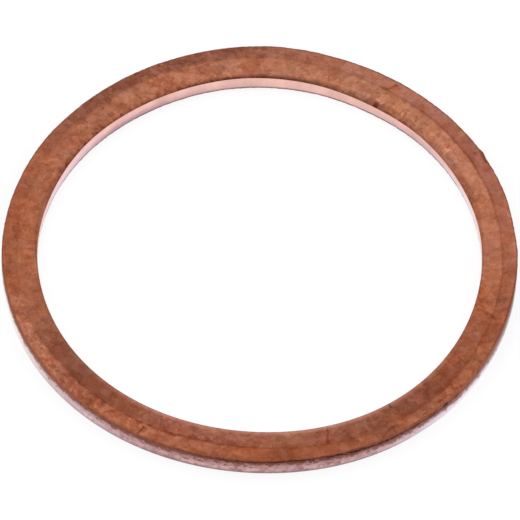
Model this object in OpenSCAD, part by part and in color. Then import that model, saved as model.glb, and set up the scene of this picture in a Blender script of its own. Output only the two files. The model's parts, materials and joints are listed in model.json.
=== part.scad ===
// Flat metal sealing ring, stamped from sheet in one stroke.
// The ring lies on its flat lower face. The origin is at the middle of that
// face and +Z is the axis of the bore. All sizes are in millimetres.

/* [Ring] */

// Diameter of the bore, across its smooth wall
bore_d = 42.2; // [12:0.1:120]

// Width of the band of metal, from the bore to the rim
band_w = 3.35; // [2.5:0.05:12]

// Thickness, from the lower face to the ridge of the upper face
thickness = 2; // [1.5:0.05:6]

/* [Upper face] */

// How far the upper face falls from its ridge to the bore
inner_fall = 0.1; // [0.02:0.01:0.15]

// How far the upper face falls from its ridge to the rim
outer_fall = 0.02; // [0.01:0.01:0.1]

// Distance from the rim to the middle of the ridge
ridge_from_rim = 1.4; // [0.8:0.05:1.95]

// Width of the flat land along the ridge
ridge_w = 0.12; // [0.04:0.02:0.24]

/* [Bore edge] */

// Height of the pulled-in edge at the top of the bore
bore_roll_h = 0.3; // [0.3:0.05:0.5]

// Width of the pulled-in edge at the top of the bore
bore_roll_w = 0.16; // [0.04:0.02:0.3]

// Height of the torn zone at the foot of the bore
bore_tear_h = 0.25; // [0.1:0.05:0.8]

// How far the bore opens out over its torn zone
bore_tear_w = 0.04; // [0.01:0.01:0.1]

/* [Rim edge] */

// Height of the pulled-in edge at the foot of the rim
rim_roll_h = 0.2; // [0.2:0.05:0.45]

// Width of the pulled-in edge at the foot of the rim
rim_roll_w = 0.06; // [0.02:0.02:0.2]

// Height of the torn zone at the top of the rim
rim_tear_h = 0.6; // [0.2:0.05:0.9]

// How far the rim draws in over its torn zone
rim_tear_w = 0.03; // [0.01:0.01:0.1]

/* [Quality] */

// Facets around a full circle
facets = 240; // [60:12:360]

/* [Hidden] */

copper = [0.68, 0.42, 0.3];

// Overshoot of a cut past the surface that it removes
past = 0.5;

bore_r = bore_d / 2;
rim_r = bore_r + band_w;
ridge_r = rim_r - ridge_from_rim;
bore_edge_z = thickness - inner_fall;
rim_edge_z = thickness - outer_fall;

$fn = facets;

// Radius of an arc that leaves a wall square on, and draws in by w over a height h
function roll_radius(w, h) = (w * w + h * h) / (2 * w);

// What a pulled-in edge lacks: the corner at the origin, with metal towards +X and
// below, less the arc that runs from the wall onto the face
module edge_roll(w, h) {
    r = roll_radius(w, h);
    difference() {
        translate([-past, -h]) square([r + past, h + past]);
        translate([r, -h]) circle(r);
    }
}

// Section before its edges are rounded: torn zones, straight walls and sloped faces
module sheared_section() {
    polygon([
        [bore_r + bore_tear_w, 0],
        [rim_r, 0],
        [rim_r, rim_edge_z - rim_tear_h],
        [rim_r - rim_tear_w, rim_edge_z],
        [ridge_r + ridge_w / 2, thickness],
        [ridge_r - ridge_w / 2, thickness],
        [bore_r, bore_edge_z],
        [bore_r, bore_tear_h]
    ]);
}

module ring_section() {
    difference() {
        sheared_section();
        translate([bore_r, bore_edge_z]) edge_roll(bore_roll_w, bore_roll_h);
        translate([rim_r, 0]) rotate(180) edge_roll(rim_roll_w, rim_roll_h);
    }
}

module sealing_ring() {
    color(copper)
        rotate_extrude() ring_section();
}

sealing_ring();
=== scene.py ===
import json
import math
from collections import namedtuple

import bpy
from mathutils import Matrix, Vector


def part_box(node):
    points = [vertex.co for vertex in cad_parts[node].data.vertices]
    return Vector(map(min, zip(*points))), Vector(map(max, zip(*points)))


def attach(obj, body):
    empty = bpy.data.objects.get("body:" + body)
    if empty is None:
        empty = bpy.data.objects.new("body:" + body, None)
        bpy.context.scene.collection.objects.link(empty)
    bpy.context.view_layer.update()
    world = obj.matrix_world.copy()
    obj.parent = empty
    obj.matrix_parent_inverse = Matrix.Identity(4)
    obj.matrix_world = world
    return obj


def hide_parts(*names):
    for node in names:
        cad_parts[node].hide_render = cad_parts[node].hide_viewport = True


# A flat copper sealing ring, stamped from sheet and lying on a pale floor. The section
# and the node trees work in millimetres and degrees, and the finished mesh is in metres.
# Angles run anticlockwise from +X, seen from above. "Across" is the distance from the
# bore's wall towards the rim.

MM = 0.001
NODE = "sealing_ring"
SEED = 7.0

# Camera: angles in degrees, distances in metres, and pixels of a square frame
ELEVATION = 53.37
ROLL = -2.02
DISTANCE = 2.0
RIM_RADIUS_IN_PIXELS = 257.67
CENTRE_IN_PIXELS = (260.01, 265.83)
FRAME_PIXELS = 520
SENSOR_MM = 36.0
FARTHEST = 20

# The ring's section, on top of the sizes that the frame gives. A torn zone and a pulled-in
# edge are each a width and a height.
RIDGE_FROM_RIM = 1.4
RIDGE_SOFTNESS = 0.04
INNER_FALL = 0.1
OUTER_FALL = 0.015
RIM_TEAR = (0.02, 0.62)
RIM_ROLL = (0.04, 0.12)
RIM_CORNER = 0.02
BORE_TEAR = (0.04, 0.25)

# Torn metal: how ragged it is, and how far it fades past its border. The rim's top also has
# a burr, over a zone so deep, that rises and falls by a share of the raggedness.
RAG = 0.05
TEAR_FADE = 0.1
BURR_ZONE = 0.2
BURR_SHARE = 0.4

# Pulled-in edge of the bore
ROLL_LEAST = 0.05
ROLL_POWER = 4.0
ROLL_SLOPE = 2.0

# Steps round the ring, and rows along each stretch of its section. The rows lie closer
# together over the face's first millimetre.
STEPS_ROUND = 1440
BORE_ROWS = 12
FINE_ROWS = 16
FINE_WIDTH = 1.0
FINE_POWER = 1.5
FACE_ROWS = 16
CORNER_ROWS = 3
TORN_ROWS = 7
SHEARED_ROWS = 5
ROLL_ROWS = 4
UNDER_ROWS = 3

# Points of the mesh that lie nearer than this, in metres, are joined
WELD = 1e-7

# Roughness of the smooth walls, and how much rougher the face and the torn zone are
WALL_ROUGHNESS = 0.35
FACE_ROUGHER = 0.1
TORN_ROUGHER = 0.2

# Depths of the dents all over, of the torn zone and of the marks on the face
DENT_DEPTH = 0.004
TEAR_DEPTH = 0.02
MARK_DEPTH = 0.01

# A lobe swells the ring at so many crests, one of them at its angle. A bulge is full at its
# angle and fades out over its reach. Its size is in millimetres where it moves metal, and a
# share where it changes a colour. A stroke is a straight mark from its start to its end, each
# given as an angle and a distance across.
Lobe = namedtuple("Lobe", "crests size angle")
Bulge = namedtuple("Bulge", "angle reach size")
Stroke = namedtuple("Stroke", "start end width strength")

# How the ring is out of round: all of it, and more at its rim and at its bore
LOBES = (
    Lobe(crests=3, size=0.092, angle=77.8),
    Lobe(crests=4, size=0.033, angle=28.6),
    Lobe(crests=5, size=0.030, angle=19.8),
)
RIM_BULGES = (
    Bulge(angle=2, reach=7, size=0.04),
    Bulge(angle=11, reach=9, size=-0.06),
    Bulge(angle=31.8, reach=2.2, size=0.1),
    Bulge(angle=88, reach=10, size=0.04),
    Bulge(angle=90, reach=22, size=0.1),
    Bulge(angle=110, reach=65, size=0.03),
    Bulge(angle=150, reach=10, size=0.05),
    Bulge(angle=180, reach=15, size=0.04),
    Bulge(angle=268, reach=50, size=0.03),
    Bulge(angle=310, reach=10, size=-0.03),
)
BORE_BULGES = (
    Bulge(angle=62, reach=16, size=-0.08),
    Bulge(angle=100, reach=75, size=-0.06),
    Bulge(angle=122, reach=28, size=-0.07),
    Bulge(angle=266, reach=80, size=-0.11),
)

# Where the pulled-in edge of the bore is taller
ROLL_BULGES = (
    Bulge(angle=24, reach=26, size=0.38),
    Bulge(angle=52, reach=50, size=0.52),
    Bulge(angle=108, reach=55, size=0.28),
    Bulge(angle=165, reach=26, size=0.42),
)

# How the ridge wanders: as an oval, and nearer to the rim or to the bore. Then where the
# border between its two sides is soft.
RIDGE_OVAL = Lobe(crests=2, size=0.12, angle=120)
RIDGE_BULGES = (
    Bulge(angle=204, reach=18, size=0.32),
    Bulge(angle=268, reach=34, size=-0.2),
    Bulge(angle=314, reach=24, size=0.12),
)
RIDGE_BLUR = (
    Bulge(angle=140, reach=55, size=0.3),
)

# Lighter and darker stretches of the face: inner ones lie on the bore's side of the ridge,
# and outer ones on the rim's. They are partly tarnish and partly painted light and shade.
INNER_TONES = (
    Bulge(angle=0, reach=14, size=0.03),
    Bulge(angle=24, reach=62, size=0.14),
    Bulge(angle=75, reach=30, size=-0.03),
    Bulge(angle=132, reach=8, size=-0.05),
    Bulge(angle=140, reach=20, size=-0.06),
    Bulge(angle=180, reach=12, size=0.05),
    Bulge(angle=221, reach=32, size=-0.34),
    Bulge(angle=255, reach=28, size=-0.05),
    Bulge(angle=290, reach=13, size=-0.09),
    Bulge(angle=318, reach=36, size=-0.3),
    Bulge(angle=323, reach=12, size=0.02),
)
OUTER_TONES = (
    Bulge(angle=8, reach=20, size=0.12),
    Bulge(angle=26, reach=16, size=0.05),
    Bulge(angle=64, reach=38, size=0.19),
    Bulge(angle=90, reach=12, size=-0.05),
    Bulge(angle=120, reach=45, size=-0.23),
    Bulge(angle=142, reach=16, size=-0.06),
    Bulge(angle=180, reach=16, size=-0.06),
    Bulge(angle=203, reach=19, size=0.12),
    Bulge(angle=228, reach=13, size=-0.2),
    Bulge(angle=272, reach=15, size=-0.1),
    Bulge(angle=300, reach=45, size=-0.13),
    Bulge(angle=346, reach=14, size=-0.1),
)

# Lighter and darker stretches of the face's two edges. At the bore's edge they are partly stain
# and partly painted shade and light.
BORE_EDGE_TONES = (
    Bulge(angle=0, reach=14, size=-0.07),
    Bulge(angle=82, reach=10, size=-0.04),
    Bulge(angle=110, reach=22, size=-0.08),
    Bulge(angle=153, reach=22, size=-0.2),
    Bulge(angle=183, reach=8, size=0.05),
    Bulge(angle=219, reach=20, size=0.15),
    Bulge(angle=249, reach=12, size=0.07),
    Bulge(angle=290, reach=22, size=0.31),
    Bulge(angle=307.5, reach=5, size=0.16),
    Bulge(angle=321, reach=13, size=0.16),
    Bulge(angle=342, reach=10, size=-0.05),
)
RIM_EDGE_TONES = (
    Bulge(angle=8, reach=20, size=0.15),
    Bulge(angle=57, reach=12, size=0.06),
    Bulge(angle=95, reach=16, size=-0.07),
    Bulge(angle=120, reach=16, size=0.09),
    Bulge(angle=152, reach=22, size=0.08),
    Bulge(angle=175, reach=8, size=-0.04),
    Bulge(angle=190, reach=12, size=0.1),
    Bulge(angle=228, reach=20, size=0.16),
    Bulge(angle=262, reach=20, size=-0.12),
    Bulge(angle=310, reach=24, size=0.1),
    Bulge(angle=344, reach=18, size=0.12),
)

# More orange stretches of the face, and paler ones
INNER_HUES = (
    Bulge(angle=0, reach=12, size=-0.25),
    Bulge(angle=18, reach=18, size=0.85),
    Bulge(angle=60, reach=85, size=-1.0),
    Bulge(angle=85, reach=25, size=0.35),
    Bulge(angle=135, reach=30, size=-0.15),
    Bulge(angle=174, reach=28, size=0.9),
    Bulge(angle=211, reach=18, size=-0.7),
    Bulge(angle=242, reach=12, size=-0.4),
    Bulge(angle=287, reach=38, size=-0.55),
    Bulge(angle=322, reach=18, size=0.6),
    Bulge(angle=348, reach=18, size=1.3),
)
OUTER_HUES = (
    Bulge(angle=44, reach=12, size=0.15),
    Bulge(angle=58, reach=75, size=-1.2),
    Bulge(angle=125, reach=45, size=-1.1),
    Bulge(angle=172, reach=38, size=1.25),
    Bulge(angle=210, reach=16, size=-0.5),
    Bulge(angle=233, reach=19, size=0.68),
    Bulge(angle=253, reach=14, size=-0.7),
    Bulge(angle=272, reach=42, size=1.4),
    Bulge(angle=300, reach=14, size=-0.2),
    Bulge(angle=342, reach=36, size=0.75),
)

# Pinker stretches of the face, and yellower ones
INNER_PINKS = (
    Bulge(angle=0, reach=12, size=0.04),
    Bulge(angle=65, reach=38, size=-0.03),
    Bulge(angle=256, reach=26, size=0.09),
    Bulge(angle=284, reach=16, size=0.04),
)
OUTER_PINKS = (
    Bulge(angle=20, reach=16, size=0.025),
    Bulge(angle=45, reach=70, size=0.05),
    Bulge(angle=132, reach=16, size=0.02),
    Bulge(angle=182, reach=12, size=-0.02),
    Bulge(angle=225, reach=14, size=0.03),
    Bulge(angle=278, reach=18, size=-0.03),
    Bulge(angle=304, reach=20, size=-0.035),
)

# Where flecks crowd each side of the face's ridge
INNER_FLECKS = (
    Bulge(angle=10, reach=26, size=-0.3),
    Bulge(angle=60, reach=30, size=0.3),
    Bulge(angle=120, reach=50, size=0.4),
    Bulge(angle=225, reach=30, size=-0.5),
    Bulge(angle=258, reach=25, size=0.6),
)
OUTER_FLECKS = (
    Bulge(angle=30, reach=60, size=-0.4),
    Bulge(angle=115, reach=35, size=0.5),
    Bulge(angle=222, reach=50, size=0.8),
    Bulge(angle=320, reach=40, size=0.4),
)

# Where the ridge shows as a dark line, and where it lies in a softer shade
RIDGE_LINE = (
    Bulge(angle=35, reach=60, size=0.26),
    Bulge(angle=80, reach=24, size=0.06),
    Bulge(angle=245, reach=55, size=0.26),
    Bulge(angle=330, reach=50, size=0.18),
)
RIDGE_SHADE = (
    Bulge(angle=220, reach=30, size=0.09),
    Bulge(angle=270, reach=45, size=0.15),
    Bulge(angle=312, reach=34, size=0.14),
)

# Where the face's edge at the bore is darker: partly stain, partly painted shade
EDGE_STAIN_AND_SHADE = (
    Bulge(angle=20, reach=26, size=0.35),
    Bulge(angle=55, reach=32, size=0.35),
    Bulge(angle=92, reach=30, size=0.3),
    Bulge(angle=115, reach=24, size=0.4),
    Bulge(angle=150, reach=30, size=0.35),
)
# Where that edge is dotted
EDGE_DOTS = (
    Bulge(angle=28, reach=36, size=0.18),
    Bulge(angle=140, reach=48, size=0.26),
)
# Where that edge has a painted highlight
EDGE_HIGHLIGHT = (
    Bulge(angle=247, reach=30, size=0.8),
    Bulge(angle=284, reach=36, size=0.85),
    Bulge(angle=318, reach=24, size=0.4),
)

# Paler and pinker stretches of the bore's wall: painted reflections where the wall is seen aslant
BORE_PALE_REFLECTION = (
    Bulge(angle=20, reach=30, size=0.9),
    Bulge(angle=165, reach=35, size=0.9),
)
BORE_PINK_REFLECTION = (
    Bulge(angle=157, reach=28, size=0.8),
)
# Darker stretches near the bore wall's foot: painted shade
BORE_LOW_SHADE = (
    Bulge(angle=45, reach=25, size=0.35),
    Bulge(angle=100, reach=24, size=0.2),
    Bulge(angle=130, reach=34, size=0.9),
    Bulge(angle=168, reach=22, size=0.3),
)

# Where the rim's wall is paler, warmly or coolly: painted reflections where it is seen aslant
RIM_WARM_REFLECTION = (
    Bulge(angle=196, reach=32, size=1.0),
)
RIM_COOL_REFLECTION = (
    Bulge(angle=225, reach=22, size=0.25),
    Bulge(angle=328, reach=38, size=1.0),
)

# Where the rim's torn zone is lighter or darker, where it reaches lower, and where it is
# rustier, has a dark line under its top (partly a torn border, partly painted shade) or is pitted
RIM_TONES = (
    Bulge(angle=217, reach=22, size=0.2),
    Bulge(angle=275, reach=40, size=-0.1),
    Bulge(angle=326, reach=20, size=0.2),
    Bulge(angle=348, reach=24, size=-0.25),
)
RIM_DEEP = (
    Bulge(angle=222, reach=24, size=-0.05),
    Bulge(angle=268, reach=22, size=0.05),
    Bulge(angle=300, reach=18, size=0.18),
    Bulge(angle=316, reach=20, size=0.16),
    Bulge(angle=343, reach=34, size=0.6),
)
RIM_RUST = (
    Bulge(angle=210, reach=48, size=1.8),
    Bulge(angle=335, reach=40, size=1.2),
)
RIM_TOP_LINE_AND_SHADE = (
    Bulge(angle=278, reach=40, size=0.85),
    Bulge(angle=305, reach=30, size=0.6),
    Bulge(angle=328, reach=16, size=0.3),
)
RIM_PITS = (
    Bulge(angle=287.0, reach=1.6, size=0.5),
    Bulge(angle=292.3, reach=1.8, size=0.6),
    Bulge(angle=299.2, reach=1.6, size=0.4),
    Bulge(angle=308.4, reach=1.4, size=0.5),
    Bulge(angle=313.2, reach=1.6, size=0.6),
    Bulge(angle=317.1, reach=1.3, size=1.0),
    Bulge(angle=320.6, reach=1.4, size=0.7),
    Bulge(angle=328.6, reach=1.2, size=0.5),
)

# Nicks, cracks and dark spots of the face
STROKES = (
    Stroke(start=(29.2, 3.15), end=(32.4, 3.3), width=0.35, strength=0.45),
    Stroke(start=(32.2, 2.65), end=(32.6, 2.65), width=0.22, strength=0.3),
    Stroke(start=(58.8, 2.9), end=(60.3, 1.9), width=0.25, strength=0.35),
    Stroke(start=(60.1, 2.1), end=(61.0, 1.9), width=0.30, strength=0.3),
    Stroke(start=(52.2, 0.8), end=(52.2, 0.1), width=0.16, strength=0.3),
    Stroke(start=(60.0, 0.1), end=(60.6, 0.0), width=0.35, strength=0.55),
    Stroke(start=(243.2, 3.2), end=(243.4, 2.2), width=0.22, strength=0.4),
    Stroke(start=(287.7, 1.9), end=(288.9, 0.1), width=0.18, strength=0.3),
    Stroke(start=(294.0, 2.6), end=(292.5, 1.2), width=0.40, strength=0.2),
    Stroke(start=(306.2, 0.5), end=(306.5, -0.1), width=0.24, strength=0.65),
    Stroke(start=(299.4, 1.8), end=(303.8, 1.5), width=0.60, strength=0.2),
    Stroke(start=(300.4, 3.0), end=(303.4, 2.6), width=0.35, strength=0.22),
    Stroke(start=(311.0, 3.1), end=(312.0, 3.1), width=0.15, strength=0.4),
    Stroke(start=(315.0, 1.9), end=(318.0, 0.4), width=0.60, strength=0.25),
    Stroke(start=(316.0, 3.0), end=(317.0, 3.0), width=0.15, strength=0.4),
    Stroke(start=(343.4, 2.4), end=(343.6, 2.1), width=0.35, strength=0.35),
    Stroke(start=(343.8, 1.9), end=(345.0, 0.4), width=0.25, strength=0.2),
)

# Brighter flakes of the face
GLEAMS = (
    Stroke(start=(20.8, 1.65), end=(25.8, 1.65), width=0.40, strength=0.09),
    Stroke(start=(36.6, 1.6), end=(37.0, 0.6), width=0.45, strength=0.11),
    Stroke(start=(39.4, 1.7), end=(41.8, 1.6), width=0.30, strength=0.14),
    Stroke(start=(109.4, 1.5), end=(112.6, 1.1), width=0.45, strength=0.10),
    Stroke(start=(115.0, 1.2), end=(118.6, 1.5), width=0.60, strength=0.08),
    Stroke(start=(190.5, 1.3), end=(193.0, 0.8), width=0.55, strength=0.12),
    Stroke(start=(209.5, 2.7), end=(214.0, 2.8), width=0.60, strength=0.10),
    Stroke(start=(232.5, 2.7), end=(235.0, 3.0), width=0.35, strength=0.18),
    Stroke(start=(237.5, 2.6), end=(240.0, 2.9), width=0.50, strength=0.14),
    Stroke(start=(244.3, 2.9), end=(245.2, 2.2), width=0.45, strength=0.16),
    Stroke(start=(257.6, 2.4), end=(260.0, 3.0), width=0.50, strength=0.16),
    Stroke(start=(266.6, 2.6), end=(268.4, 2.9), width=0.45, strength=0.16),
    Stroke(start=(301.4, 2.4), end=(305.2, 2.25), width=0.40, strength=0.2),
)


def srgb(red, green, blue):
    """A colour given as 0 to 255 on screen, as the linear colour that a material takes."""
    def linear(value):
        value /= 255
        return value / 12.92 if value <= 0.04045 else ((value + 0.055) / 1.055) ** 2.4
    return (linear(red), linear(green), linear(blue), 1.0)


# Colours of the metal, of the painted highlight, reflections and shade on it, and of the cards and the
# floor
FACE_METAL = srgb(167, 103, 77)
# A painted highlight on the face's edge at the bore
FACE_HIGHLIGHT = srgb(204, 142, 126)
BORE_METAL = srgb(240, 192, 182)
# Painted reflections on the bore's wall
BORE_REFLECTION_PALEST = srgb(254, 236, 244)
BORE_REFLECTION_PINKEST = srgb(250, 206, 220)
# Painted shade low on the bore's wall
BORE_LOW_SHADE_DARKEST = srgb(184, 140, 152)
BORE_SPOT = srgb(160, 108, 108)
# Torn metal and painted shade along the bore wall's foot
BORE_FOOT_TEAR_AND_SHADE = srgb(108, 78, 86)
# The rim's wall is darker than the bore's, partly as painted shade
RIM_METAL_AND_SHADE = srgb(198, 155, 154)
# Painted shade along the rim wall's foot
RIM_FOOT_SHADE = srgb(142, 122, 124)
# Painted reflections on the rim's wall
RIM_REFLECTION_WARM = srgb(254, 244, 238)
RIM_REFLECTION_COOL = srgb(252, 238, 250)
RIM_RAGGED = srgb(134, 85, 76)
RIM_TORN = srgb(150, 87, 62)
# The dark line under the rim's top: partly a torn border, partly painted shade
RIM_TOP_LINE_DARKEST = srgb(70, 18, 6)
RIM_PIT = srgb(74, 14, 14)
FLAG_GREY = srgb(50, 50, 50)
CARD_GREY = srgb(140, 140, 140)
FLOOR_WHITE = (0.96, 0.96, 0.96, 1)

# The floor's size in metres, the strength of its glow, and the glow's share of its look
FLOOR_SIZE = (12, 12)
FLOOR_GLOW = 1.06
GLOW_SHARE = 0.75


class Field:
    """A value that nodes work out, with the usual signs for sums."""

    def __init__(self, tree, socket):
        self.tree = tree
        self.socket = socket

    def __add__(self, other):
        return self.tree.math("ADD", self, other)

    def __sub__(self, other):
        return self.tree.math("SUBTRACT", self, other)

    def __mul__(self, other):
        return self.tree.math("MULTIPLY", self, other)

    def __truediv__(self, other):
        return self.tree.math("DIVIDE", self, other)

    def __pow__(self, other):
        return self.tree.math("POWER", self, other)

    def __rsub__(self, other):
        return self.tree.math("SUBTRACT", other, self)

    __radd__ = __add__


class Tree:
    """A node tree, and short ways to add to it."""

    def __init__(self, tree):
        self.tree = tree

    def feed(self, socket, value):
        """Links a field to a socket, or sets a plain value on it."""
        if isinstance(value, Field):
            self.tree.links.new(value.socket, socket)
        else:
            socket.default_value = value

    def add(self, kind, inputs=None, **settings):
        node = self.tree.nodes.new(kind)
        for name, value in settings.items():
            setattr(node, name, value)
        for key, value in (inputs or {}).items():
            self.feed(node.inputs[key], value)
        return node

    def out(self, node, key=0):
        return Field(self, node.outputs[key])

    def math(self, operation, *values):
        inputs = dict(enumerate(values))
        return self.out(self.add("ShaderNodeMath", inputs, operation=operation))

    def vector(self, operation, *values):
        inputs = dict(enumerate(values))
        node = self.add("ShaderNodeVectorMath", inputs, operation=operation)
        number = operation in ("DISTANCE", "DOT_PRODUCT")
        return self.out(node, "Value" if number else "Vector")

    def scale(self, vector, factor):
        node = self.add("ShaderNodeVectorMath", {"Vector": vector, "Scale": factor}, operation="SCALE")
        return self.out(node, "Vector")

    def step(self, value, low, high):
        """0 at low, 1 at high, and smooth between. It falls where low is above high."""
        inputs = {"Value": value, "From Min": low, "From Max": high}
        node = self.add("ShaderNodeMapRange", inputs, interpolation_type="SMOOTHSTEP", clamp=False)
        return self.out(node)

    def choose(self, which, low, high):
        """low where which is 0, high where it is 1."""
        return low + (high - low) * which

    def join(self, x, y, z):
        return self.out(self.add("ShaderNodeCombineXYZ", {"X": x, "Y": y, "Z": z}))

    def split(self, vector):
        node = self.add("ShaderNodeSeparateXYZ", {"Vector": vector})
        return [self.out(node, axis) for axis in "XYZ"]

    def noise(self, place, per_mm, seed, detail=2.0, rough=0.5):
        """Soft noise about 0, mostly between -1 and 1, with per_mm waves to a millimetre. The
        seed sets it apart from the other noises."""
        inputs = {"Vector": place, "W": seed, "Scale": per_mm, "Detail": detail, "Roughness": rough}
        node = self.add("ShaderNodeTexNoise", inputs, noise_dimensions="4D")
        return (self.out(node, 0) - 0.5) * 4.0

    def apart(self, angle, centre):
        """How many degrees an angle from 0 to 360 lies from centre."""
        turned = self.math("ABSOLUTE", angle - centre)
        return self.math("MINIMUM", turned, 360.0 - turned)

    def cosine(self, degrees):
        return self.math("COSINE", self.math("RADIANS", degrees))

    def lobe(self, angle, lobe):
        """How far out a lobe lies at an angle."""
        return self.cosine((angle - lobe.angle) * lobe.crests) * lobe.size

    def bulges(self, angle, bulges):
        """The sum of bulges at an angle."""
        total = 0.0
        for bulge in bulges:
            total = self.step(self.apart(angle, bulge.angle), bulge.reach, 0.0) * bulge.size + total
        return total

    def mix(self, factor, low, high, blend="MIX"):
        """The colour low where factor is 0, and high where it is 1."""
        node = self.tree.nodes.new("ShaderNodeMix")
        node.data_type = "RGBA"
        node.blend_type = blend
        self.feed(node.inputs[0], factor)
        self.feed(node.inputs[6], low)
        self.feed(node.inputs[7], high)
        return Field(self, node.outputs[2])


# Sizes from the frame

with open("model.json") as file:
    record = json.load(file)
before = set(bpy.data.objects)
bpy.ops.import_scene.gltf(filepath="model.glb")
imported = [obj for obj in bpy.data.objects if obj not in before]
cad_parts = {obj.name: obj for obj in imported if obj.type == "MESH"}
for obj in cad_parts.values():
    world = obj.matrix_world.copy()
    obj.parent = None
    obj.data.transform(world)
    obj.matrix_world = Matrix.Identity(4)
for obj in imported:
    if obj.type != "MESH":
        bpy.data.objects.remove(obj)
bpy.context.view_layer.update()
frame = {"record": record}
rim_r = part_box(NODE)[1].x / MM
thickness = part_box(NODE)[1].z / MM
bore_r = next(mount for mount in frame["record"]["mounts"] if mount["name"] == "bore")["dims"]["r_mm"]
band_w = rim_r - bore_r
ridge = band_w - RIDGE_FROM_RIM


# The ring

BORE_WALL, UPPER_FACE, RIM_WALL, LOWER_FACE = range(4)


def shares(count, power=1.0):
    """Shares of 1 from 0 up to, but without, 1. A higher power puts more of them near 0."""
    return [(i / count) ** power for i in range(count)]


def quarter_turn(count):
    """Angles along a quarter of a circle, from 0 up to, but without, its end."""
    return [math.radians(90 * share) for share in shares(count)]


def bore_points():
    """Up the bore's wall, with rows closer together near both ends."""
    return [(0.0, (1 - math.cos(math.pi * i / BORE_ROWS)) / 2) for i in range(BORE_ROWS + 1)]


def face_points(edge):
    """Out over the face to its edge at the rim."""
    points = [(FINE_WIDTH * share, 0.0) for share in shares(FINE_ROWS, FINE_POWER)]
    return points + [(FINE_WIDTH + (edge - FINE_WIDTH) * share, 0.0) for share in shares(FACE_ROWS)]


def rim_points(edge):
    """Round the upper corner and down the rim: torn, then smooth, then pulled in."""
    tear_w, tear_h = RIM_TEAR
    roll_w, roll_h = RIM_ROLL
    tear_foot = thickness - tear_h
    points = [(edge + RIM_CORNER * math.sin(a), thickness - RIM_CORNER * (1 - math.cos(a)))
              for a in quarter_turn(CORNER_ROWS)]
    points += [(band_w - tear_w * (1 - share), thickness - RIM_CORNER - (tear_h - RIM_CORNER) * share)
               for share in shares(TORN_ROWS)]
    points += [(band_w, tear_foot - (tear_foot - roll_h) * share) for share in shares(SHEARED_ROWS)]
    points += [(band_w - roll_w * (1 - math.cos(a)), roll_h * (1 - math.sin(a)))
               for a in quarter_turn(ROLL_ROWS)]
    return points


def under_points():
    """Back to the bore, along the lower face."""
    foot = band_w - RIM_ROLL[0]
    return [(foot - foot * share, 0.0) for share in shares(UNDER_ROWS)]


def section():
    """The band's section as points of (across, part, height), going up the bore, out over
    the face, down the rim and back underneath. On the bore's wall, height is a share of
    the wall's height, and on the face it is left to the node tree."""
    edge = band_w - RIM_TEAR[0] - RIM_CORNER
    parts = ((bore_points(), BORE_WALL), (face_points(edge), UPPER_FACE),
             (rim_points(edge), RIM_WALL), (under_points(), LOWER_FACE))
    return [(across, part, height) for points, part in parts for across, height in points]


def ridge_across(t, angle, middle):
    """Where the ridge lies, which wanders a little about its middle."""
    return t.lobe(angle, RIDGE_OVAL) + t.bulges(angle, RIDGE_BULGES) + middle


def name_sockets(sockets):
    """What the ring's node tree takes, and the ring that it gives."""
    sockets.new_socket("Section", in_out="INPUT", socket_type="NodeSocketGeometry")
    for name in ("Bore radius", "Band width", "Thickness", "Ridge across", "Inner fall", "Outer fall",
                 "Rag", "Seed"):
        sockets.new_socket(name, in_out="INPUT", socket_type="NodeSocketFloat")
    sockets.new_socket("Steps round", in_out="INPUT", socket_type="NodeSocketInt")
    sockets.new_socket("Finish", in_out="INPUT", socket_type="NodeSocketMaterial")
    sockets.new_socket("Ring", in_out="OUTPUT", socket_type="NodeSocketGeometry")


def flat_grid(t, outline, points, steps):
    """A flat grid, with a row round the ring for each point of the section, and one more of
    each to close it. Gives each grid point's angle, and its across, part and height."""
    rows = points + 1
    grid = t.add("GeometryNodeMeshGrid", {"Vertices X": steps + 1.0, "Vertices Y": rows})
    index = t.out(t.add("GeometryNodeInputIndex"))
    column = t.math("FLOOR", (index + 0.5) / float(rows))
    row = t.math("MODULO", t.math("FLOOR", t.math("MODULO", index + 0.5, float(rows))), float(points))
    sample = t.add("GeometryNodeSampleIndex", {"Geometry": outline, "Index": row}, data_type="FLOAT_VECTOR")
    t.feed(sample.inputs["Value"], t.out(t.add("GeometryNodeInputPosition")))
    return t.out(grid, "Mesh"), column / steps * 360.0, t.split(t.out(sample))


def level_here(t, value, angle, across, height, on_bore, on_face, on_rim):
    """A point's real height. The face falls away from its ridge, and rolls over into the bore."""
    width, top = value("Band width"), value("Thickness")
    ridge_here = ridge_across(t, angle, value("Ridge across"))
    from_ridge = across - ridge_here
    soft = t.math("SQRT", from_ridge * from_ridge + RIDGE_SOFTNESS ** 2) - RIDGE_SOFTNESS
    inside = t.math("LESS_THAN", across, ridge_here)
    slope = t.choose(inside, value("Outer fall") / (width - ridge_here), value("Inner fall") / ridge_here)
    roll_h = t.bulges(angle, ROLL_BULGES) + ROLL_LEAST
    roll_w = roll_h * (ROLL_POWER / ROLL_SLOPE)
    rolled = t.math("MAXIMUM", 1.0 - across / roll_w, 0.0) ** ROLL_POWER
    face_height = top - soft * slope - rolled * roll_h
    wall_top = top - value("Inner fall") - roll_h
    rim_fall = value("Outer fall") * height / top
    return on_bore * (height * wall_top) + on_face * face_height + on_rim * (height - rim_fall)


def torn_metal(t, value, place, level, on_bore, on_rim):
    """How far torn metal moves outwards and upwards, at the foot of the bore and at the top
    of the rim."""
    seed, rag, top = value("Seed"), value("Rag"), value("Thickness")
    rip = t.noise(place, 2.6, seed + 1.0, 3.0, 0.6) * 0.6 + t.noise(place, 0.7, seed + 2.0) * 0.4
    torn_foot = on_bore * t.step(level, BORE_TEAR[1] + TEAR_FADE, 0.0)
    tear_foot = top - RIM_TEAR[1]
    torn_top = on_rim * t.step(level, tear_foot - TEAR_FADE, tear_foot + 2 * TEAR_FADE)
    ragged = (torn_top - torn_foot) * rip * rag + torn_foot * BORE_TEAR[0]
    burr = torn_top * t.step(level, top - BURR_ZONE, top) * t.noise(place, 1.6, seed + 3.0)
    return ragged, burr * rag * BURR_SHARE


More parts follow.
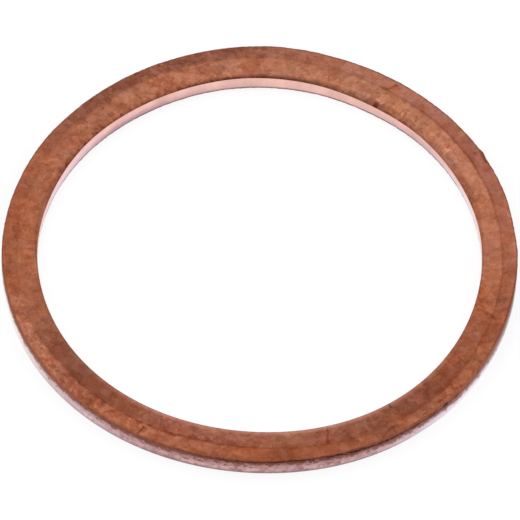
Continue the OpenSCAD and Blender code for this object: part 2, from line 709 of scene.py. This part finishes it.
def out_of_round(t, angle, across):
    """How far the whole ring swells, and how far it is pulled out more. The rim's bulges
    fade over the band as the bore's own bulges take over."""
    swell = 0.0
    for lobe in LOBES:
        swell = t.lobe(angle, lobe) + swell
    outer = t.step(across, 0.8, band_w)
    pulled = t.bulges(angle, RIM_BULGES) * outer + t.bulges(angle, BORE_BULGES) * (1.0 - outer)
    return swell, pulled


def ring_tree(points):
    """Sweeps a section round the bore."""
    tree = bpy.data.node_groups.new("ring_from_section", "GeometryNodeTree")
    name_sockets(tree.interface)
    t = Tree(tree)
    given = t.add("NodeGroupInput")

    def value(name):
        return t.out(given, name)

    grid, angle, (across, part, height) = flat_grid(t, value("Section"), points, value("Steps round"))
    on_bore, on_face, on_rim = [t.math("COMPARE", part, float(this), 0.1)
                                for this in (BORE_WALL, UPPER_FACE, RIM_WALL)]
    level = level_here(t, value, angle, across, height, on_bore, on_face, on_rim)

    # The true ring first, and then what is torn and out of round on it
    east = t.cosine(angle)
    north = t.math("SINE", t.math("RADIANS", angle))
    plain = across + value("Bore radius")
    place = t.join(plain * east, plain * north, level)
    ragged, burr = torn_metal(t, value, place, level, on_bore, on_rim)
    swell, pulled = out_of_round(t, angle, across)
    radius = plain + swell + pulled + ragged
    position = t.scale(t.join(radius * east, radius * north, level + burr), MM)

    # What the material has to know at each point
    kept = t.out(t.add("GeometryNodeSetPosition", {"Geometry": grid, "Position": position}))
    for name, field in (("across", across), ("share", height), ("on_bore", on_bore), ("on_face", on_face),
                        ("on_rim", on_rim)):
        store = t.add("GeometryNodeStoreNamedAttribute", {"Geometry": kept, "Name": name, "Value": field},
                      data_type="FLOAT", domain="POINT")
        kept = t.out(store)
    welded = t.add("GeometryNodeMergeByDistance", {"Geometry": kept, "Distance": WELD})
    smooth = t.add("GeometryNodeSetShadeSmooth", {"Geometry": t.out(welded)})
    real = t.add("GeometryNodeRealizeInstances", {"Geometry": t.out(smooth)})
    done = t.add("GeometryNodeSetMaterial", {"Geometry": t.out(real), "Material": value("Finish")})
    t.add("NodeGroupOutput", {"Ring": t.out(done)})
    return tree


def make_ring(finish):
    """The finished ring: what the node tree makes of the section, as a plain mesh."""
    outline = section()
    section_mesh = bpy.data.meshes.new("ring_section")
    section_mesh.from_pydata(outline, [], [])
    maker = bpy.data.objects.new("ring_maker", section_mesh)
    bpy.context.scene.collection.objects.link(maker)
    tree = ring_tree(len(outline))
    modifier = maker.modifiers.new("ring", "NODES")
    modifier.node_group = tree
    sizes = {"Bore radius": bore_r, "Band width": band_w, "Thickness": thickness, "Ridge across": ridge,
             "Inner fall": INNER_FALL, "Outer fall": OUTER_FALL, "Rag": RAG, "Seed": SEED,
             "Steps round": STEPS_ROUND, "Finish": finish}
    for item in tree.interface.items_tree:
        if item.in_out == "INPUT" and item.name in sizes:
            modifier[item.identifier] = sizes[item.name]
    bpy.context.view_layer.update()
    evaluated = maker.evaluated_get(bpy.context.evaluated_depsgraph_get())
    mesh = bpy.data.meshes.new_from_object(evaluated)
    mesh.name = "copper_ring"
    ring = bpy.data.objects.new("copper_ring", mesh)
    bpy.context.scene.collection.objects.link(ring)
    maker.modifiers.clear()
    bpy.data.objects.remove(maker)
    return ring


# Copper

def polar(degrees, across):
    """A place on the face, laid flat."""
    angle = math.radians(degrees)
    return ((bore_r + across) * math.cos(angle), (bore_r + across) * math.sin(angle), 0.0)


def stroke_here(t, flat, stroke):
    """How strong a mark is here: full along its line, and 0 past its width."""
    start = Vector(polar(*stroke.start))
    line = Vector(polar(*stroke.end)) - start
    offset = t.vector("SUBTRACT", flat, tuple(start))
    along = t.vector("DOT_PRODUCT", offset, tuple(line)) * (1 / line.length_squared)
    nearest = t.scale(tuple(line), t.math("MINIMUM", t.math("MAXIMUM", along, 0.0), 1.0))
    return t.step(t.vector("DISTANCE", offset, nearest), stroke.width, 0.0) * stroke.strength


def strokes_here(t, flat, strokes):
    """How strong the strongest mark is here."""
    strongest = 0.0
    for stroke in strokes:
        strongest = t.math("MAXIMUM", stroke_here(t, flat, stroke), strongest)
    return strongest


def attribute(t, name):
    """A value that the ring's node tree stored on its mesh."""
    return t.out(t.add("ShaderNodeAttribute", attribute_name=name), "Fac")


def tint(t, colour, tone, hue=0.0, green=1.28, blue=1.3):
    """Makes a colour lighter or darker by tone, and more orange by hue. As the metal
    darkens it also grows redder, by the powers for green and blue."""
    deep = t.join(tone, tone ** green * (1.0 - hue * 0.1), tone ** blue * (1.0 - hue * 0.2))
    return t.mix(1.0, colour, deep, "MULTIPLY")


def warp(t, place, per_mm, reach):
    """Pushes places about, so that what is drawn there gets uneven borders."""
    push = t.out(t.add("ShaderNodeTexNoise", {"Vector": place, "Scale": per_mm, "Detail": 2.0}), "Color")
    return t.vector("ADD", place, t.scale(t.vector("SUBTRACT", push, (0.5, 0.5, 0.5)), reach))


def flakes(t, place, per_mm, softness=0.25, dimensions="2D"):
    """Flat flakes side by side, each with its own value from -0.5 to 0.5, with soft borders."""
    inputs = {"Vector": place, "Scale": per_mm, "Smoothness": softness}
    node = t.add("ShaderNodeTexVoronoi", inputs, voronoi_dimensions=dimensions, feature="SMOOTH_F1")
    return t.split(t.out(node, "Color"))[0] - 0.5


def by_side(t, angle, inner, outer_bulges, inner_bulges):
    """The bulges of the side of the ridge that a point is on."""
    return t.choose(inner, t.bulges(angle, outer_bulges), t.bulges(angle, inner_bulges))


def copper_with_painted_shade(t, bent, crisp, angle, inner):
    """Dull rolled copper, in soft patches that are lighter, more orange or pinker. The lighter and
    darker stretches are partly tarnish and partly painted light and shade, and the rim's side
    of the ridge is a little darker, a painted shade."""
    # Tones partly tarnish, partly painted light and shade; the rim's side gets a painted shade
    tone = t.choose(inner, t.bulges(angle, OUTER_TONES) - 0.08, t.bulges(angle, INNER_TONES)) + 1.0
    tone = tone + t.noise(bent, 0.45, 11.0, 3.0, 0.6) * 0.1 + flakes(t, crisp, 0.8, 0.12) * 0.18
    hue = t.noise(bent, 0.4, 17.0, 2.0, 0.6) + flakes(t, bent, 1.1) * 1.2
    hue = hue + by_side(t, angle, inner, OUTER_HUES, INNER_HUES)
    pink = by_side(t, angle, inner, OUTER_PINKS, INNER_PINKS)
    green = t.noise(bent, 0.8, 22.0, 2.0, 0.6) * 0.05 + 1.0 - pink
    return t.mix(1.0, tint(t, FACE_METAL, tone, hue), t.join(1.0, green, 1.0), "MULTIPLY")


def tarnish_and_shade(t, place, angle, across, ridge_here, marks):
    """How much light is left by specks, by the ridge's line and painted shade, by the marks, and by
    dots and by stains with painted shade at the bore's edge."""
    specks = t.step(t.noise(place, 3.2, 13.0, 1.0), 0.6, 1.0) * 0.22
    on_line = t.step(t.math("ABSOLUTE", across - ridge_here - 0.06), 0.2, 0.02)
    line = on_line * t.bulges(angle, RIDGE_LINE) * (t.noise(place, 0.8, 16.0) * 0.4 + 0.9)
    shade = t.step(t.math("ABSOLUTE", across - ridge_here + 0.08), 0.55, 0.0) * t.bulges(angle, RIDGE_SHADE)
    # Stain along the bore's edge, partly painted shade
    ragged = across + t.noise(place, 1.8, 23.0, 2.0, 0.6) * 0.14
    stain_and_shade = t.step(ragged, 0.16, 0.0) * t.bulges(angle, EDGE_STAIN_AND_SHADE)
    dots = t.step(t.noise(place, 1.6, 24.0, 1.0), 0.2, 0.6) * t.step(across, 0.6, 0.3)
    dots = dots * t.bulges(angle, EDGE_DOTS)
    return (1.0 - specks) * (1.0 - line) * (1.0 - shade) * (1.0 - marks) * (1.0 - stain_and_shade) * (1.0 - dots)


def face_colour(t, place, angle, across, marks, gleams):
    """Rolled copper with flecks, glints, tarnish, painted shade and a painted highlight, and a line along
    the ridge.
    """
    bent = warp(t, place, 1.0, 0.9)
    crisp = warp(t, place, 2.2, 0.5)
    ridge_here = ridge_across(t, angle, ridge) + t.noise(place, 0.5, 21.0) * 0.05
    blur = t.bulges(angle, RIDGE_BLUR) + 0.08
    inner = t.step(across, ridge_here + blur, ridge_here - blur)
    colour = copper_with_painted_shade(t, bent, crisp, angle, inner)

    crowd = by_side(t, angle, inner, OUTER_FLECKS, INNER_FLECKS) + 1.0
    flecks = (flakes(t, crisp, 1.9, 0.08) + flakes(t, crisp, 3.4, 0.1) * 0.7) * 0.23 * crowd
    grain = t.noise(place, 5.5, 14.0, 1.0) * 0.1
    glints = t.step(t.noise(place, 3.2, 18.0, 1.0), 0.6, 1.0) * 0.22 * crowd
    dark = tarnish_and_shade(t, place, angle, across, ridge_here, marks)
    # At the bore's edge these tones are partly stain and partly painted shade and light
    edges = t.step(across, 0.7, 0.2) * t.bulges(angle, BORE_EDGE_TONES)
    edges = edges + t.step(across, 2.6, 3.15) * t.bulges(angle, RIM_EDGE_TONES)
    fine = (flecks + grain + 1.0) * dark * (1.0 + glints) * (1.0 + gleams) * (1.0 + edges)
    colour = tint(t, colour, fine, green=1.45, blue=1.75)

    # A painted highlight along the bore's edge
    highlight = t.step(across, 0.55, 0.05) * t.bulges(angle, EDGE_HIGHLIGHT)
    return t.mix(highlight * (t.noise(place, 2.4, 19.0, 2.0) * 0.5 + 1.0), colour, FACE_HIGHLIGHT)


def bore_colour(t, place, angle, share, height):
    """Bright where the punch burnished it, in soft upright streaks, with painted pale reflections at
    its sides, painted shade low down, and a thin line along its foot that is torn metal and
    painted shade."""
    drawn = t.vector("MULTIPLY", place, (1.0, 1.0, 0.3))
    ragged = t.noise(drawn, 1.5, 31.0, 3.0, 0.6)
    tone = t.noise(drawn, 0.8, 32.0, 3.0, 0.6) * 0.12 + 1.0
    colour = tint(t, BORE_METAL, tone)
    # Painted pale reflections where the wall is seen aslant
    pale_reflection = t.bulges(angle, BORE_PALE_REFLECTION) * t.step(share + ragged * 0.15, 0.95, 0.4)
    colour = t.mix(pale_reflection, colour, BORE_REFLECTION_PALEST)
    colour = t.mix(t.bulges(angle, BORE_PINK_REFLECTION) * 0.7, colour, BORE_REFLECTION_PINKEST)
    # Painted shade low on the wall
    low_shade = t.bulges(angle, BORE_LOW_SHADE) * t.step(height + ragged * 0.15, 1.2, 0.3)
    colour = t.mix(low_shade, colour, BORE_LOW_SHADE_DARKEST)
    spot = t.step(t.noise(place, 1.3, 35.0, 2.0), 0.6, 1.2) * t.step(height, 1.2, 0.2)
    colour = t.mix(spot * 0.5, colour, BORE_SPOT)
    # A dark line along the foot: torn metal, and painted shade where the wall meets the floor
    foot = t.step(height + ragged * 0.08, 0.38, 0.1) * (ragged * 0.4 + 0.85)
    return t.mix(foot, colour, BORE_FOOT_TEAR_AND_SHADE)


def rim_colour(t, place, angle, height):
    """Smooth below and torn above, with crumbs of metal where the two meet, and pits near the top.
    A dark line under the top is partly a torn border and partly painted shade, the pale stretches
    are painted reflections, and the dark foot is painted shade."""
    crumbs = flakes(t, warp(t, place, 2.0, 0.3), 2.0, 0.1, "3D")
    chips = flakes(t, place, 4.2, 0.1, "3D")
    level = height + t.bulges(angle, RIM_DEEP) + t.noise(place, 0.9, 36.0, 3.0, 0.6) * 0.06
    # Painted pale reflections where the wall is seen aslant
    warm_reflection = t.bulges(angle, RIM_WARM_REFLECTION) * t.step(level, 1.8, 0.6)
    cool_reflection = t.bulges(angle, RIM_COOL_REFLECTION) * t.step(level, 1.6, 0.6)
    rust = t.bulges(angle, RIM_RUST)
    colour = tint(t, RIM_METAL_AND_SHADE, crumbs * 0.6 + chips * 0.3 + 1.0)
    # Painted shade along the foot, where the wall meets the floor
    foot = t.step(height, 0.5, 0.1) * (chips * 0.4 + 0.8)
    colour = t.mix(foot, colour, RIM_FOOT_SHADE)
    colour = t.mix(warm_reflection, colour, RIM_REFLECTION_WARM)
    colour = t.mix(cool_reflection, colour, RIM_REFLECTION_COOL)
    ragged = t.step(level + crumbs * 0.8 + chips * 0.4, 1.0, 1.4) * (1.0 - warm_reflection * 0.3)
    tone = t.bulges(angle, RIM_TONES) + 1.0
    colour = t.mix(ragged, colour, tint(t, RIM_RAGGED, crumbs * 0.5 + chips * 0.5 + tone, rust))
    torn = t.step(level, 1.72, 1.84)
    colour = t.mix(torn, colour, tint(t, RIM_TORN, chips * 0.3 + tone, rust))
    # A dark line under the top: partly a torn border, partly painted shade
    line = t.step(level + chips * 0.08, 1.97, 1.87) * t.step(level + chips * 0.3, 1.62, 1.78)
    line = line * t.bulges(angle, RIM_TOP_LINE_AND_SHADE)
    colour = t.mix(line * (crumbs * 0.6 + 1.0), colour, RIM_TOP_LINE_DARKEST)
    pits = t.bulges(angle, RIM_PITS) * t.step(height, 1.0, 1.35) * t.step(height, 1.96, 1.8)
    return t.mix(pits * (chips * 0.6 + 0.9), colour, RIM_PIT)


def copper():
    """Bare metal all over: its face, its bore's wall and its rim's wall each have their own colour.
    The rim's wall is darker than the bore's, which partly stands in for shade.
    """
    material = bpy.data.materials.new("stamped_copper")
    material.use_nodes = True
    material.node_tree.nodes.clear()
    t = Tree(material.node_tree)
    place = t.scale(t.out(t.add("ShaderNodeTexCoord"), "Object"), 1 / MM)
    x, y, height = t.split(place)
    angle = t.math("FLOORED_MODULO", t.math("DEGREES", t.math("ARCTAN2", y, x)), 360.0)
    across, share, on_bore, on_face, on_rim = [attribute(t, name) for name in
                                               ("across", "share", "on_bore", "on_face", "on_rim")]

    flat = t.vector("MULTIPLY", warp(t, place, 2.0, 0.3), (1.0, 1.0, 0.0))
    marks = strokes_here(t, flat, STROKES)

    face = face_colour(t, place, angle, across, marks, strokes_here(t, flat, GLEAMS))
    walls = t.mix(on_bore, rim_colour(t, place, angle, height), bore_colour(t, place, angle, share, height))
    colour = t.mix(on_face, walls, face)
    torn = on_rim * t.step(height, 1.2, 1.5)
    rough = on_face * FACE_ROUGHER + torn * TORN_ROUGHER + WALL_ROUGHNESS
    dents = t.noise(place, 1.0, 41.0, 3.0, 0.6) * DENT_DEPTH
    dents = dents + torn * t.noise(place, 3.0, 42.0, 3.0, 0.6) * TEAR_DEPTH
    bump = t.add("ShaderNodeBump", {"Height": dents - marks * MARK_DEPTH, "Strength": 1.0, "Distance": MM})
    shader = t.add("ShaderNodeBsdfPrincipled", {"Base Color": colour, "Metallic": 1.0, "Roughness": rough,
                                                "Normal": t.out(bump)})
    t.add("ShaderNodeOutputMaterial", {"Surface": t.out(shader)})
    return material


# Studio

def paper(name, colour):
    """Matt paper with no gloss."""
    material = bpy.data.materials.new(name)
    material.use_nodes = True
    shader = material.node_tree.nodes["Principled BSDF"]
    shader.inputs["Base Color"].default_value = colour
    shader.inputs["Roughness"].default_value = 0.9
    shader.inputs["Specular IOR Level"].default_value = 0.0
    return material


def seen(t):
    """1 for what the camera sees, straight or in a reflection, and 0 for light that bounces."""
    path = t.add("ShaderNodeLightPath")
    glossy = t.math("MAXIMUM", t.out(path, "Is Glossy Ray"), t.out(path, "Is Transmission Ray"))
    return t.math("MAXIMUM", t.out(path, "Is Camera Ray"), glossy)


def sheet(name, centre, size, facing, material):
    """A flat sheet of the studio, which faces the given way."""
    mesh = bpy.data.meshes.new(name)
    w, h = size[0] / 2, size[1] / 2
    turn = Vector(facing).to_track_quat("Z", "Y").to_matrix().to_4x4()
    place = Matrix.Translation(centre) @ turn
    corners = [place @ Vector(corner) for corner in ((-w, -h, 0), (w, -h, 0), (w, h, 0), (-w, h, 0))]
    mesh.from_pydata(corners, [], [(0, 1, 2, 3)])
    mesh.materials.append(material)
    made = bpy.data.objects.new(name, mesh)
    bpy.context.scene.collection.objects.link(made)
    return made


def make_card(name, centre, size, facing, colour):
    """A card beside the ring, which only the metal's reflections show."""
    card = sheet(name, centre, size, facing, paper(name, colour))
    card.visible_camera = False


def make_floor():
    """White paper that glows a little where it is seen, so that it shows white but keeps the
    ring's shadow."""
    material = paper("floor", FLOOR_WHITE)
    t = Tree(material.node_tree)
    output = material.node_tree.nodes["Material Output"]
    glow = t.add("ShaderNodeEmission", {"Color": (1, 1, 1, 1), "Strength": FLOOR_GLOW})
    shader = Field(t, material.node_tree.nodes["Principled BSDF"].outputs[0])
    lit = t.add("ShaderNodeMixShader", {0: seen(t) * GLOW_SHARE, 1: shader, 2: t.out(glow)})
    t.feed(output.inputs["Surface"], t.out(lit))
    sheet("floor", (0, 0, 0), FLOOR_SIZE, (0, 0, 1), material)


def make_world():
    """Even white light from all round."""
    world = bpy.data.worlds.new("studio")
    bpy.context.scene.world = world
    world.use_nodes = True
    world.node_tree.nodes.clear()
    t = Tree(world.node_tree)
    background = t.add("ShaderNodeBackground", {"Color": (1, 1, 1, 1), "Strength": 1.0})
    t.add("ShaderNodeOutputWorld", {"Surface": t.out(background)})


def make_lamp(name, centre, size, watts):
    """A round lamp that points at the ring."""
    light = bpy.data.lights.new(name, "AREA")
    light.shape = "DISK"
    light.size = size
    light.energy = watts
    lamp = bpy.data.objects.new(name, light)
    lamp.location = centre
    lamp.rotation_euler = (-Vector(centre)).to_track_quat("-Z", "Y").to_euler()
    bpy.context.scene.collection.objects.link(lamp)


def make_camera():
    """Puts the middle of the ring's lower face at the measured pixel, at the measured scale."""
    lift, roll = math.radians(ELEVATION), math.radians(ROLL)
    forward = Vector((0, math.cos(lift), -math.sin(lift)))
    right = Vector((1, 0, 0))
    down = forward.cross(right)
    across = right * math.cos(roll) + down * math.sin(roll)
    along = down * math.cos(roll) - right * math.sin(roll)
    metres_per_pixel = rim_r * MM / RIM_RADIUS_IN_PIXELS
    offset = [(pixel - FRAME_PIXELS / 2) * metres_per_pixel for pixel in CENTRE_IN_PIXELS]
    place = -(across * offset[0] + along * offset[1] + forward * DISTANCE)
    camera = bpy.data.cameras.new("camera")
    camera.sensor_width = SENSOR_MM
    camera.lens = SENSOR_MM * DISTANCE / (FRAME_PIXELS * metres_per_pixel)
    camera.clip_end = FARTHEST
    made = bpy.data.objects.new("camera", camera)
    turn = Matrix((across, -along, -forward)).transposed()
    made.matrix_world = Matrix.Translation(place) @ turn.to_4x4()
    bpy.context.scene.collection.objects.link(made)
    bpy.context.scene.camera = made


make_camera()
make_world()
make_floor()
make_lamp("overhead", centre=(-0.1, 0.3, 0.9), size=0.8, watts=1.0)
make_card("front_flag", centre=(0, -0.6, 0.16), size=(0.8, 0.36), facing=(0, 1, 0), colour=FLAG_GREY)
make_card("back_card", centre=(0, 0.6, 0.25), size=(1.4, 0.7), facing=(0, -1, 0), colour=CARD_GREY)

ring = make_ring(copper())
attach(ring, "root")
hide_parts(NODE)

bpy.context.scene.view_settings.view_transform = "Standard"
